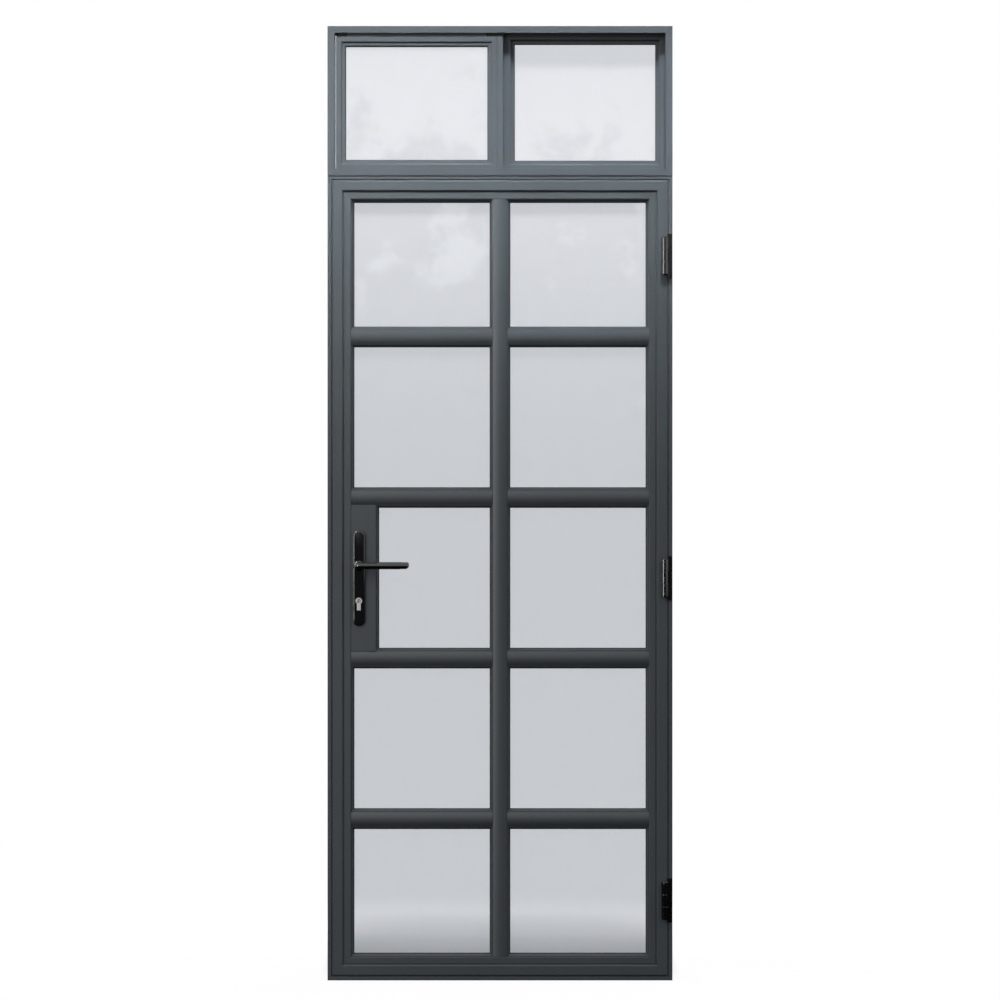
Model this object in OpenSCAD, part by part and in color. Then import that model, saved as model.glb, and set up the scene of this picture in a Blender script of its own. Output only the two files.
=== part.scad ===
/* [Outer frame] */
// Width over the outer frame
door_w = 900; // [750:5:1100]
// Height of the door frame, sill to head
door_h = 2100; // [1900:5:2400]
// Height of the window frame above the door
transom_h = 390; // [300:5:600]
// Depth of both outer frames, front to back
frame_d = 60; // [56:1:80]
// Width of frame that shows round the leaf
frame_strip = 10; // [8:1:20]
// Width of the frame section down to the leaf's box
frame_w = 41; // [38:1:50]
// Wall of the aluminium extrusions
wall = 2; // [1.5:0.1:3]
// How far the frame's front edge is set back from the leaf's face
frame_set_back = 2; // [1:0.5:6]

/* [Leaf] */
// Running gap all round the leaf
leaf_gap = 3; // [2.5:0.5:5]
// Thickness of the leaf's overlapping flange
flange_t = 12; // [10:1:13]
// Space for the seal between flange and frame
seal_gap = 3; // [2.5:0.5:5]
// Depth of the leaf's box section
leaf_d = 50; // [44:1:54]
// Width of the leaf's inner face, beside the glass
leaf_box_w = 17; // [15:1:30]
// Width of the bars between the panes
bar_w = 38; // [30:1:50]
// Rise of the crossbars' rounded face
bar_crown = 4; // [2:0.5:5]
// How far the bars' faces lie behind the leaf's face
bar_face = 4; // [2:0.5:4]

/* [Glass] */
// Thickness of the door's glass
glass_t = 6; // [4:1:8]
// Width of the glazing beads that shows
bead_w = 6; // [5:1:10]
// How far the glass lies behind the leaf's face
glass_set_back = 24; // [18:1:28]
// How far the beads lie behind the leaf's face
bead_set_back = 9; // [6:1:14]
// Depth of the rear beads
rear_bead_d = 10; // [6:1:12]
// Edge clearance of the glass in its rebate
glass_edge_gap = 2; // [1:0.5:4]

/* [Lock] */
// Width of the flat panel that houses the lock
lock_panel_w = 45; // [40:1:60]
// Width of the post beside the lock panel
lock_post_w = 20; // [16:1:30]
// Depth of the lock panel
lock_panel_d = 40; // [34:1:42]
// Distance from the leaf's edge to the spindle
backset = 38; // [35:1:45]
// Height of the spindle above the middle of its row of glass
spindle_rise = 32; // [-20:1:50]
// Distance from spindle to cylinder
cylinder_drop = 92; // [85:1:92]
// Square of the spindle
spindle_sq = 8; // [7:0.5:10]
// Width of the lock case
case_t = 16; // [14:1:18]
// Depth of the lock case into the leaf
case_w = 55; // [50:1:56]
// Height of the lock case
case_h = 170; // [160:1:176]
// Length of the lock's faceplate
faceplate_h = 250; // [235:1:300]
// Width of the lock's faceplate
faceplate_w = 22; // [20:1:24]
// Travel of the deadbolt
bolt_throw = 20; // [14:1:20]
// Travel of the latch
latch_throw = 12; // [8:1:14]

/* [Handle] */
// Width of the backplates
plate_w = 31; // [28:1:36]
// Height of the backplates
plate_h = 250; // [235:1:270]
// Thickness of the backplates
plate_t = 10; // [8:1:14]
// Length of the lever from the spindle
lever_len = 128; // [105:1:140]
// Diameter of the lever's grip
lever_dia = 17; // [14:1:20]
// Diameter of the lever's neck
neck_dia = 19; // [16:1:22]
// Diameter of the collar at the foot of the neck
collar_dia = 27; // [23:1:30]
// Height of that collar
collar_h = 12; // [8:1:16]
// How far the lever stands out from the backplate
lever_out = 42; // [34:1:55]
// Radial clearance of turning parts
run_gap = 0.05; // [0.02:0.01:0.1]

/* [Hinges] */
// Diameter of the hinge barrels
barrel_dia = 17; // [14:1:20]
// Height of the hinge barrels
barrel_h = 96; // [80:1:120]
// Distance from the leaf's edge to the hinge axis
hinge_in = 8; // [7:1:12]
// Diameter of the hinge pins
pin_dia = 8; // [6:0.5:10]
// Height of the hinges' frame plates
hinge_plate_h = 116; // [100:1:140]
// Distance of the end hinges' middles from the frame's ends
hinge_end = 210; // [150:5:300]

/* [Window over the door] */
// Width of the window frame that shows
transom_strip = 18; // [16:1:26]
// Thickness of the window frame's base
transom_base = 12; // [10:1:14]
// Width of the sash's face
sash_w = 24; // [20:1:32]
// Depth of the sash
sash_d = 20; // [18:1:22]
// Width of the strip that covers the meeting line
interlock_w = 15; // [12:1:20]
// Thickness of the window's glass
light_t = 5; // [4:1:6]
// Travel of the sliding sash
sash_travel = 410; // [300:5:410]

/* [Hidden] */

// Colours
grey = "#3f464b";
black = "#141416";
steel = "#a9adb0";
brass = "#c9b27a";
glass = [0.80, 0.82, 0.84, 0.5];

// Rows of glass; the crossbars between them are nodes of their own
rows = 5;

big = 4000;
eps = 0.01;
round_fn = 48;
fit = 0.3;

// Leaf: places measured inward from the frame's outer edge, and depths from the leaf's face
leaf_u = frame_strip + leaf_gap;
box_u = frame_w + leaf_gap;
rebate_u = box_u + leaf_box_w;
flange_w = frame_w - leaf_u;
stile_w = rebate_u - leaf_u;
leaf_w = door_w - 2 * leaf_u;
leaf_h = door_h - 2 * leaf_u;
shelf_d = flange_t + seal_gap;
groove_u = frame_strip + 9;
groove_w = 4;
groove_d = 4;
corner = 1;
flange_bevel = 3;
shadow_d = 6;
post_bevel_w = 4;
post_bevel_d = 2;
front = -frame_d / 2;
pitch = door_h / rows;
edge_x = door_w / 2 - rebate_u;
bar_h = bar_w / 2;
crown_r = (bar_h * bar_h + bar_crown * bar_crown) / (2 * bar_crown);
lock_row = 3;

// Lowest and highest edge of the rebate in each row, counted from the top
function row_low(n) = n == rows ? rebate_u : (rows - n) * pitch + bar_h;
function row_high(n) = n == 1 ? door_h - rebate_u : (rows - n + 1) * pitch - bar_h;

// Fixings through the jambs into the wall
fixing_pitch = 550;
fixing_r = 3.25;
fixing_d = 54.5;

// Lock: places across the door, and along its depth
box_x = -door_w / 2 + box_u;
panel_x = -edge_x;
post_x = panel_x + lock_panel_w;
lock_glass_x = post_x + lock_post_w;
spindle_x = box_x + backset;
spindle_z = (row_low(lock_row) + row_high(lock_row)) / 2 + spindle_rise;
cylinder_z = spindle_z - cylinder_drop;
plate_drop = 32;
plate_z = spindle_z - plate_drop;
case_mid = (flange_t + leaf_d) / 2;
panel_front = (leaf_d - lock_panel_d) / 2 + 1;
panel_back = panel_front + lock_panel_d;
panel_z = row_low(lock_row);
panel_h = row_high(lock_row) - panel_z;
case_wall = 1.5;
faceplate_t = 3;
case_z = spindle_z - cylinder_drop / 2;
bolt_h = 32;
bolt_t = case_t - 4;
bolt_len = 28;
latch_h = 18;
bolt_z = cylinder_z - 12;
latch_z = spindle_z + 24;
latch_nose = 3;
bolt_room = 1;
frame_face_x = -door_w / 2 + frame_w;
strike_t = 2.5;
strike_h = 170;
strike_w = 24;
strike_z = (bolt_z + latch_z) / 2;
profile_r = 8.5;
profile_w = 10;
profile_h = 33;
plug_r = 6.5;
plug_len = 28;
cylinder_out = 2;
screw_r = 2.5;
screw_head_r = 4.5;
screw_head_t = 2.5;
screw_pitch = plate_h - 35;
neck_r = neck_dia / 2;
lever_r = lever_dia / 2;
collar_r = collar_dia / 2;
lever_seat = plate_t - 4;
spindle_in = 12;

// Hinges
axis_x = door_w / 2 - leaf_u - hinge_in;
barrel_r = barrel_dia / 2;
pin_r = pin_dia / 2;
axis_d = -barrel_r - 0.5;
knuckle = barrel_h / 3;
hinge_plate_x = axis_x + barrel_r + 0.5;
hinge_plate_w = door_w / 2 - 1 - hinge_plate_x;
hinge_plate_t = 6;
hinge_low = hinge_end;
hinge_mid = door_h / 2;
hinge_high = door_h - hinge_end;

// Window over the door
sash_u = transom_strip + 4;
sash_low = transom_strip - 2;
sash_top = transom_strip + 9;
sash_front = 5;
track_d = sash_front + sash_d / 2;
fixed_front = sash_front + sash_d + 6;
lip = 3;
fixed_d = frame_d - lip - fixed_front;
fixed_glass_d = fixed_d - 9;
fixed_step = 6;
meet_x = 8;
post_w = 20;
sash_x = -door_w / 2 + sash_u;
sash_frame_w = meet_x - interlock_w - sash_x;
sash_z = door_h + sash_low;
sash_h = transom_h - sash_low - sash_top;
fixed_w = door_w / 2 - transom_base - meet_x;
fixed_h = transom_h - 2 * transom_base;
fixed_bar_w = sash_w + 5;
fixed_face = fixed_bar_w - 8;
light_in = 8;
light_slack = 2;
rail_t = 4;
fin_in = 30;
fin_clear = 2;
sash_step = 3;
sash_face = 11;
sash_recess = 8;

// A straight bar along X: its section is drawn as depth across and distance inward up
module bar(len) {
  rotate([90, 0, 90]) linear_extrude(len) children();
}

// The same bar, cut to a mitre at both ends
module mitred(len, w) {
  intersection() {
    bar(len) children();
    translate([0, big / 2, 0]) rotate([90, 0, 0]) linear_extrude(big)
      polygon([[0, 0], [len, 0], [len - w, w], [w, w]]);
  }
}

// One side of a frame of four mitred bars, its lower left corner at the origin
module side(which, len_x, len_z, w) {
  if (which == "bottom") mitred(len_x, w) children();
  if (which == "top") translate([0, 0, len_z]) mirror([0, 0, 1]) mitred(len_x, w) children();
  if (which == "left") mirror([1, 0, 0]) rotate([0, -90, 0]) mitred(len_z, w) children();
  if (which == "right") translate([len_x, 0, 0]) rotate([0, -90, 0]) mitred(len_z, w) children();
}

// A round hole or rod along Y
module rod_y(r, len) {
  rotate([-90, 0, 0]) cylinder(r = r, h = len, $fn = round_fn);
}

// Section of the door frame: strip, shelf with its seal groove, hollow box
module frame_section() {
  difference() {
    polygon([
      [frame_set_back + corner, 0], [frame_set_back, corner],
      [frame_set_back, frame_strip - corner], [frame_set_back + corner, frame_strip],
      [shelf_d, frame_strip], [shelf_d, groove_u], [shelf_d + groove_d, groove_u],
      [shelf_d + groove_d, groove_u + groove_w], [shelf_d, groove_u + groove_w],
      [shelf_d, frame_w - corner], [shelf_d + corner, frame_w], [frame_d - corner, frame_w],
      [frame_d, frame_w - corner], [frame_d, 0]]);
    translate([shelf_d + groove_d + wall, wall])
      square([frame_d - shelf_d - groove_d - 2 * wall, frame_w - 2 * wall]);
    translate([frame_set_back + wall, wall])
      square([shelf_d + groove_d - frame_set_back - wall, frame_strip - 2 * wall]);
  }
}

module door_frame_side(which) {
  translate([-door_w / 2, front, 0])
    side(which, door_w, door_h, frame_w) frame_section();
}

// Fixing holes through a jamb, for the screws into the wall
module fixing_holes() {
  for (z = [-1.5, -0.5, 0.5, 1.5])
    translate([-door_w / 2 - 1, front + fixing_d, door_h / 2 + z * fixing_pitch])
      rotate([0, 90, 0]) cylinder(r = fixing_r, h = frame_w + 2, $fn = round_fn);
}

// Openings that the bolts enter, cut through the strike and the jamb behind it
module bolt_pockets(x, len) {
  for (b = [[bolt_z, bolt_h], [latch_z, latch_h]])
    translate([x, front + case_mid - bolt_t / 2 - bolt_room, b[0] - b[1] / 2 - bolt_room])
      cube([len, bolt_t + 2 * bolt_room, b[1] + 2 * bolt_room]);
}

module door_jamb_left() color(grey) difference() {
  door_frame_side("left");
  fixing_holes();
  bolt_pockets(frame_face_x - bolt_throw - 4, bolt_throw + 5);
  translate([frame_face_x - strike_t, front + case_mid - strike_w / 2, strike_z - strike_h / 2])
    cube([strike_t + 1, strike_w, strike_h]);
}
module door_jamb_right() color(grey) difference() {
  door_frame_side("right");
  mirror([1, 0, 0]) fixing_holes();
}
module door_frame_head() color(grey) door_frame_side("top");
module door_sill() color(grey) door_frame_side("bottom");

module strike_plate() color(steel) difference() {
  translate([frame_face_x - strike_t, front + case_mid - strike_w / 2, strike_z - strike_h / 2])
    cube([strike_t, strike_w, strike_h]);
  bolt_pockets(frame_face_x - strike_t - 1, strike_t + 2);
}

// Section of the window frame: hollow base, two lips and the rail between the tracks
module transom_section() {
  difference() {
    union() {
      square([frame_d, transom_base]);
      square([lip, transom_strip]);
      translate([fixed_front - lip - corner, 0]) square([lip, transom_strip]);
      translate([frame_d - lip, 0]) square([lip, transom_strip]);
    }
    translate([wall, wall]) square([frame_d - 2 * wall, transom_base - 2 * wall]);
  }
}
module transom_side(which) {
  translate([-door_w / 2, front, door_h])
    side(which, door_w, transom_h, transom_strip) transom_section();
}
module window_jamb_left() color(grey) transom_side("left");
module window_jamb_right() color(grey) transom_side("right");
module window_head() color(grey) transom_side("top");
// The sill carries the raised rail that the sash runs on
module window_sill() color(grey) union() {
  transom_side("bottom");
  translate([-door_w / 2 + transom_strip, front + track_d - rail_t / 2,
      door_h + transom_base - eps])
    cube([door_w - 2 * transom_strip, rail_t, sash_low - transom_base - fit + eps]);
}

// Section of a sash bar, grooved for the glass
module sash_section() {
  groove = sash_w - light_in - light_slack;
  difference() {
    polygon([
      [0, corner], [corner, 0], [sash_d, 0], [sash_d, sash_w],
      [sash_d / 2 - light_t / 2 - sash_step, sash_w], [sash_step, sash_w - corner],
      [sash_step, sash_w - sash_recess], [0, sash_w - sash_face]]);
    translate([sash_d / 2 - light_t / 2, groove]) square([light_t, big]);
    translate([wall, wall]) square([sash_d - 2 * wall, groove - 2 * wall]);
  }
}
module sash_side(which) {
  translate([sash_x, front + sash_front, sash_z])
    side(which, sash_frame_w, sash_h, sash_w) sash_section();
}
module sash_stile_left() color(grey) sash_side("left");
module sash_stile_right() color(grey) sash_side("right");
module sash_rail_bottom() color(grey) sash_side("bottom");
// The top rail carries the fin that guides the sash in the head's channel
module sash_rail_top() color(grey) union() {
  sash_side("top");
  translate([sash_x + fin_in, front + track_d - rail_t / 2, sash_z + sash_h - eps])
    cube([sash_frame_w - 2 * fin_in, rail_t, sash_top - transom_base - fin_clear]);
}
module sash_interlock() color(grey) difference() {
  translate([meet_x - interlock_w, front + sash_front, sash_z])
    cube([interlock_w, sash_d, sash_h]);
  translate([meet_x - interlock_w + wall, front + sash_front + wall, sash_z - 1])
    cube([interlock_w - 2 * wall, sash_d - 2 * wall, sash_h + 2]);
}
module light(x, d, z, w, h, bar) {
  inset = bar - light_in;
  translate([x + inset, d - light_t / 2, z + inset])
    cube([w - 2 * inset, light_t, h - 2 * inset]);
}
module sash_glass() color(glass)
  light(sash_x, front + sash_front + sash_d / 2, sash_z, sash_frame_w, sash_h, sash_w);

// The fixed light: a deep frame in the rear half of the window
module fixed_section() {
  groove = fixed_bar_w - light_in - light_slack;
  reveal_d = fixed_glass_d - fixed_step;
  difference() {
    polygon([
      [0, 0], [0, fixed_face - 2], [2, fixed_face], [reveal_d, fixed_face],
      [reveal_d, fixed_bar_w], [fixed_d, fixed_bar_w], [fixed_d, 0]]);
    translate([fixed_glass_d - light_t / 2, groove]) square([light_t, big]);
    translate([wall, wall]) square([fixed_d - 2 * wall, groove - 2 * wall]);
  }
}
module fixed_light_frame() color(grey)
  for (which = ["left", "right", "top", "bottom"])
    translate([meet_x, front + fixed_front, door_h + transom_base])
      side(which, fixed_w, fixed_h, fixed_bar_w) fixed_section();
module fixed_light_glass() color(glass)
  light(meet_x, front + fixed_front + fixed_glass_d, door_h + transom_base,
    fixed_w, fixed_h, fixed_bar_w);
module meeting_post() color(grey) difference() {
  translate([meet_x - post_w, front + fixed_front, door_h + transom_base])
    cube([post_w, fixed_d, fixed_h]);
  translate([meet_x - post_w + wall, front + fixed_front + wall, door_h + transom_base - 1])
    cube([post_w - 2 * wall, fixed_d - 2 * wall, fixed_h + 2]);
}

// Section of the leaf's stiles and rails: flange, shadow groove, box beside the glass
module leaf_section() {
  box = box_u - leaf_u;
  difference() {
    polygon([
      [0, 2 * corner], [2 * corner, 0], [flange_t, 0], [flange_t, box],
      [leaf_d - corner, box], [leaf_d, box + corner], [leaf_d, stile_w - corner],
      [leaf_d - corner, stile_w], [bar_face + corner, stile_w],
      [bar_face, stile_w - corner], [bar_face, box], [shadow_d, box], [shadow_d, flange_w],
      [flange_bevel, flange_w], [0, flange_w - flange_bevel]]);
    translate([wall, wall])
      square([flange_t - 2 * wall, flange_w - flange_bevel - 2 * wall]);
    translate([bar_face + wall, box + wall])
      square([leaf_d - bar_face - 2 * wall, leaf_box_w - 2 * wall]);
  }
}
module leaf_side(which) {
  translate([-leaf_w / 2, front, leaf_u])
    side(which, leaf_w, leaf_h, stile_w) leaf_section();
}

// Slot through the lock stile's box for the case and the faceplate
module lock_slot() {
  translate([box_x - 1, front + case_mid - faceplate_w / 2, case_z - faceplate_h / 2])
    cube([faceplate_t + 1, faceplate_w, faceplate_h]);
  translate([box_x - 1, front + case_mid - case_t / 2 - fit, case_z - case_h / 2 - fit])
    cube([leaf_box_w + 2, case_t + 2 * fit, case_h + 2 * fit]);
}
module leaf_stile_lock() color(grey) difference() {
  leaf_side("left");
  lock_slot();
}
module leaf_stile_hinge() color(grey) leaf_side("right");
module leaf_rail_top() color(grey) leaf_side("top");
module leaf_rail_bottom() color(grey) leaf_side("bottom");

// Section of the upright between the panes: flat face, bevelled edges
module post_section() {
  difference() {
    polygon([
      [bar_face + post_bevel_d, -bar_h], [leaf_d, -bar_h], [leaf_d, bar_h],
      [bar_face + post_bevel_d, bar_h], [bar_face, bar_h - post_bevel_w],
      [bar_face, -bar_h + post_bevel_w]]);
    translate([bar_face + wall + corner, -bar_h + wall])
      square([leaf_d - bar_face - 2 * wall - corner, bar_w - 2 * wall]);
  }
}
module glazing_post() color(grey)
  translate([0, front, rebate_u]) rotate([0, -90, 0])
    bar(door_h - 2 * rebate_u) post_section();

// Section of a crossbar: its face is one shallow curve
module crossbar_section() {
  difference() {
    intersection() {
      translate([bar_face, -bar_h]) square([leaf_d - bar_face, bar_w]);
      translate([bar_face + crown_r, 0]) circle(r = crown_r, $fn = 96);
    }
    translate([bar_face + bar_crown + wall, -bar_h + wall])
      square([leaf_d - bar_face - bar_crown - 2 * wall, bar_w - 2 * wall]);
  }
}
// Crossbars run from the stiles to the upright, one on each side of it
module crossbar(n) color(grey)
  for (x = [-edge_x, bar_h])
    translate([x, front, n * pitch]) bar(edge_x - bar_h) crossbar_section();
module crossbar_1() crossbar(4);
module crossbar_2() crossbar(3);
module crossbar_3() crossbar(2);
module crossbar_4() crossbar(1);

// Left edge of the glass rebate: the lock panel takes some of its row
function left_edge(n) = n == lock_row ? lock_glass_x : -edge_x;

module pane(x0, x1, n) color(glass)
  translate([x0 + glass_edge_gap, front + glass_set_back, row_low(n) + glass_edge_gap])
    cube([x1 - x0 - 2 * glass_edge_gap, glass_t,
      row_high(n) - row_low(n) - 2 * glass_edge_gap]);
module left_pane(n) pane(left_edge(n), -bar_h, n);
module right_pane(n) pane(bar_h, edge_x, n);
module glass_1_left() left_pane(1);
module glass_2_left() left_pane(2);
module glass_3_left() left_pane(3);
module glass_4_left() left_pane(4);
module glass_5_left() left_pane(5);
module glass_1_right() right_pane(1);
module glass_2_right() right_pane(2);
module glass_3_right() right_pane(3);
module glass_4_right() right_pane(4);
module glass_5_right() right_pane(5);

// Beads in front of the glass slope to their inner edge, the rear ones are square
module bead_section()
  polygon([
    [bead_set_back, 0], [bead_set_back, 2], [bead_set_back + 4, bead_w],
    [glass_set_back, bead_w], [glass_set_back, 0]]);
module rear_bead_section()
  translate([glass_set_back + glass_t, 0]) square([rear_bead_d, bead_w]);
module bead_ring(x0, x1, n) {
  w = x1 - x0;
  h = row_high(n) - row_low(n);
  translate([x0, front, row_low(n)])
    for (which = ["left", "right", "top", "bottom"]) {
      side(which, w, h, bead_w) bead_section();
      side(which, w, h, bead_w) rear_bead_section();
    }
}
module beads_left() color(grey)
  for (n = [1 : rows]) bead_ring(left_edge(n), -bar_h, n);
module beads_right() color(grey)
  for (n = [1 : rows]) bead_ring(bar_h, edge_x, n);

// Holes for spindle, cylinder and screws, along Y
module cylinder_outline(gap) {
  circle(r = profile_r + gap, $fn = round_fn);
  translate([-profile_w / 2 - gap, profile_r - profile_h - gap])
    square([profile_w + 2 * gap, profile_h - profile_r + gap]);
}
module cylinder_hole(gap, len)
  translate([spindle_x, 0, cylinder_z]) rotate([90, 0, 0])
    linear_extrude(len, center = true) cylinder_outline(gap);
module screw_holes(r, len)
  for (z = [-1, 1])
    translate([spindle_x, -len / 2, plate_z + z * screw_pitch / 2]) rod_y(r, len);

module lock_panel() color(grey) difference() {
  translate([panel_x, front + panel_front, panel_z]) linear_extrude(panel_h)
    difference() {
      square([lock_panel_w, lock_panel_d]);
      translate([-1, wall]) square([lock_panel_w + 1 - wall, lock_panel_d - 2 * wall]);
    }
  translate([spindle_x, -big / 2, spindle_z]) rod_y(neck_r + 2, big);
  cylinder_hole(fit, big);
  screw_holes(screw_r, big);
}
module lock_post() color(grey) difference() {
  translate([post_x, front + bar_face + corner, panel_z])
    cube([lock_post_w, leaf_d - bar_face - corner, panel_h]);
  translate([post_x + wall, front + bar_face + corner + wall, panel_z - 1])
    cube([lock_post_w - 2 * wall, leaf_d - bar_face - corner - 2 * wall, panel_h + 2]);
}

// Lock case: a thin steel box behind the faceplate, with the bolts inside it
module lock_case() color(steel) difference() {
  translate([box_x + faceplate_t, front + case_mid - case_t / 2, case_z - case_h / 2])
    cube([case_w, case_t, case_h]);
  translate([box_x + faceplate_t - 1, front + case_mid - case_t / 2 + case_wall,
      case_z - case_h / 2 + case_wall])
    cube([case_w + 1 - case_wall, case_t - 2 * case_wall, case_h - 2 * case_wall]);
  translate([spindle_x, -big / 2, spindle_z]) rod_y(spindle_sq, big);
  cylinder_hole(fit, big);
}
module lock_faceplate() color(steel) difference() {
  translate([box_x, front + case_mid - faceplate_w / 2, case_z - faceplate_h / 2])
    cube([faceplate_t, faceplate_w, faceplate_h]);
  for (b = [[bolt_z, bolt_h], [latch_z, latch_h]])
    translate([box_x - 1, front + case_mid - bolt_t / 2 - fit, b[0] - b[1] / 2 - fit])
      cube([faceplate_t + 2, bolt_t + 2 * fit, b[1] + 2 * fit]);
}
module deadbolt() color(steel)
  translate([box_x, front + case_mid - bolt_t / 2, bolt_z - bolt_h / 2])
    cube([bolt_len, bolt_t, bolt_h]);
// The latch's nose is bevelled on the side that meets the frame as the door shuts
module latch_bolt() color(brass)
  translate([box_x, front + case_mid, latch_z - latch_h / 2]) linear_extrude(latch_h)
    polygon([
      [0, -bolt_t / 2], [bolt_len, -bolt_t / 2], [bolt_len, bolt_t / 2],
      [latch_throw - 1, bolt_t / 2], [0, -bolt_t / 2 + latch_nose]]);

// Backplate with full-round ends; the neck of the lever runs in its bore
module backplate(screw_depth) {
  half = plate_h / 2 - plate_w / 2;
  difference() {
    translate([0, 0, -plate_drop]) rotate([90, 0, 0]) linear_extrude(plate_t) union() {
      translate([-plate_w / 2, -half]) square([plate_w, 2 * half]);
      for (s = [-1, 1]) translate([0, s * half]) circle(r = plate_w / 2, $fn = round_fn);
    }
    translate([0, -plate_t - 1, 0]) rod_y(neck_r + run_gap, lever_seat + 1 + fit);
    translate([0, -plate_t, 0]) rod_y(spindle_sq, plate_t + 1);
    for (s = [-1, 1])
      translate([0, -screw_depth, -plate_drop + s * screw_pitch / 2])
        rod_y(screw_r, screw_depth + 1);
    translate([0, 1, -cylinder_drop]) rotate([90, 0, 0])
      linear_extrude(plate_t + 2) cylinder_outline(fit);
  }
}
module lever() {
  grip_y = -plate_t - lever_out + lever_r;
  difference() {
    union() {
      translate([0, grip_y, 0]) rod_y(neck_r, -grip_y - plate_t + lever_seat);
      translate([0, -plate_t - fit - collar_h, 0]) rod_y(collar_r, collar_h);
      translate([0, grip_y, 0]) sphere(r = neck_r, $fn = round_fn);
      translate([0, grip_y, 0]) rotate([0, 90, 0])
        cylinder(r = lever_r, h = lever_len - lever_r, $fn = round_fn);
      translate([lever_len - lever_r, grip_y, 0]) sphere(r = lever_r, $fn = round_fn);
    }
    translate([-spindle_sq / 2, -plate_t - spindle_in, -spindle_sq / 2])
      cube([spindle_sq, 40, spindle_sq]);
  }
}
module at_front() translate([spindle_x, front + panel_front, spindle_z]) children();
module at_rear()
  translate([spindle_x, front + panel_back, spindle_z]) mirror([0, 1, 0]) children();
module backplate_front() color(black) at_front() backplate(plate_t - 3);
module backplate_rear() color(black) at_rear() backplate(plate_t + 1);
module lever_front() color(black) at_front() lever();
module lever_rear() color(black) at_rear() lever();
module spindle() color(steel)
  translate([spindle_x - spindle_sq / 2, front + panel_front - plate_t - spindle_in,
      spindle_z - spindle_sq / 2])
    cube([spindle_sq, lock_panel_d + 2 * (plate_t + spindle_in), spindle_sq]);
// Two screws join the backplates through the lock panel, their heads at the rear
module plate_screws() color(steel)
  for (s = [-1, 1])
    translate([spindle_x, front + panel_front - plate_t + 4, plate_z + s * screw_pitch / 2])
      union() {
        rod_y(screw_r - 0.1, lock_panel_d + 2 * plate_t - 4);
        translate([0, lock_panel_d + 2 * plate_t - 4, 0]) rod_y(screw_head_r, screw_head_t);
      }

module cylinder_body() color(steel) difference() {
  translate([0, (panel_front + panel_back) / 2 + front, 0])
    cylinder_hole(0, lock_panel_d + 2 * plate_t + 2 * cylinder_out);
  translate([spindle_x, front + panel_front - plate_t - cylinder_out - 1, cylinder_z])
    rod_y(plug_r + run_gap, plug_len + 1);
}
module cylinder_plug() color(brass) difference() {
  translate([spindle_x, front + panel_front - plate_t - cylinder_out, cylinder_z])
    rod_y(plug_r, plug_len);
  translate([spindle_x - 1, front + panel_front - plate_t - cylinder_out - 1, cylinder_z - 4.5])
    cube([2, plug_len - 4, 9]);
}

// Hinge: the leaf's middle knuckle turns between the frame's two on one pin
module barrel(z, h)
  translate([axis_x, front + axis_d, z]) cylinder(r = barrel_r, h = h, $fn = round_fn);
module pin_bore(z)
  translate([axis_x, front + axis_d, z - barrel_h])
    cylinder(r = pin_r + run_gap, h = 2 * barrel_h, $fn = round_fn);
module hinge_leaf(z) color(black) difference() {
  union() {
    barrel(z - knuckle / 2 + fit, knuckle - 2 * fit);
    translate([axis_x - barrel_r + 1, front + axis_d, z - knuckle / 2 + fit])
      cube([2 * barrel_r - 2, -axis_d, knuckle - 2 * fit]);
  }
  pin_bore(z);
}
module hinge_frame(z) color(black) difference() {
  union() {
    for (s = [-1, 1]) {
      barrel(z + s * knuckle - knuckle / 2, knuckle);
      translate([axis_x, front + axis_d - barrel_r / 2, z + s * knuckle - knuckle / 2])
        cube([hinge_plate_x + 1 - axis_x, barrel_r, knuckle]);
    }
    translate([hinge_plate_x, front - hinge_plate_t, z - hinge_plate_h / 2])
      cube([hinge_plate_w, hinge_plate_t + frame_set_back, hinge_plate_h]);
  }
  pin_bore(z);
}
module hinge_frame_bottom() hinge_frame(hinge_low);
module hinge_frame_middle() hinge_frame(hinge_mid);
module hinge_frame_top() hinge_frame(hinge_high);
module hinge_leaf_bottom() hinge_leaf(hinge_low);
module hinge_leaf_middle() hinge_leaf(hinge_mid);
module hinge_leaf_top() hinge_leaf(hinge_high);
module hinge_pins() color(steel)
  for (z = [hinge_low, hinge_mid, hinge_high])
    translate([axis_x, front + axis_d, z - barrel_h / 2])
      cylinder(r = pin_r, h = barrel_h, $fn = round_fn);

door_jamb_left();
door_jamb_right();
door_frame_head();
door_sill();
window_jamb_left();
window_jamb_right();
window_head();
window_sill();
leaf_stile_lock();
leaf_stile_hinge();
leaf_rail_top();
leaf_rail_bottom();
glazing_post();
crossbar_1();
crossbar_2();
crossbar_3();
crossbar_4();
lock_panel();
lock_post();
glass_1_left();
glass_2_left();
glass_3_left();
glass_4_left();
glass_5_left();
glass_1_right();
glass_2_right();
glass_3_right();
glass_4_right();
glass_5_right();
beads_left();
beads_right();
sash_stile_left();
sash_stile_right();
sash_rail_top();
sash_rail_bottom();
sash_interlock();
sash_glass();
fixed_light_frame();
fixed_light_glass();
meeting_post();
hinge_frame_bottom();
hinge_frame_middle();
hinge_frame_top();
hinge_leaf_bottom();
hinge_leaf_middle();
hinge_leaf_top();
hinge_pins();
backplate_front();
backplate_rear();
lever_front();
lever_rear();
spindle();
plate_screws();
lock_case();
lock_faceplate();
deadbolt();
latch_bolt();
cylinder_body();
cylinder_plug();
strike_plate();
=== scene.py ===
import math

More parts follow.
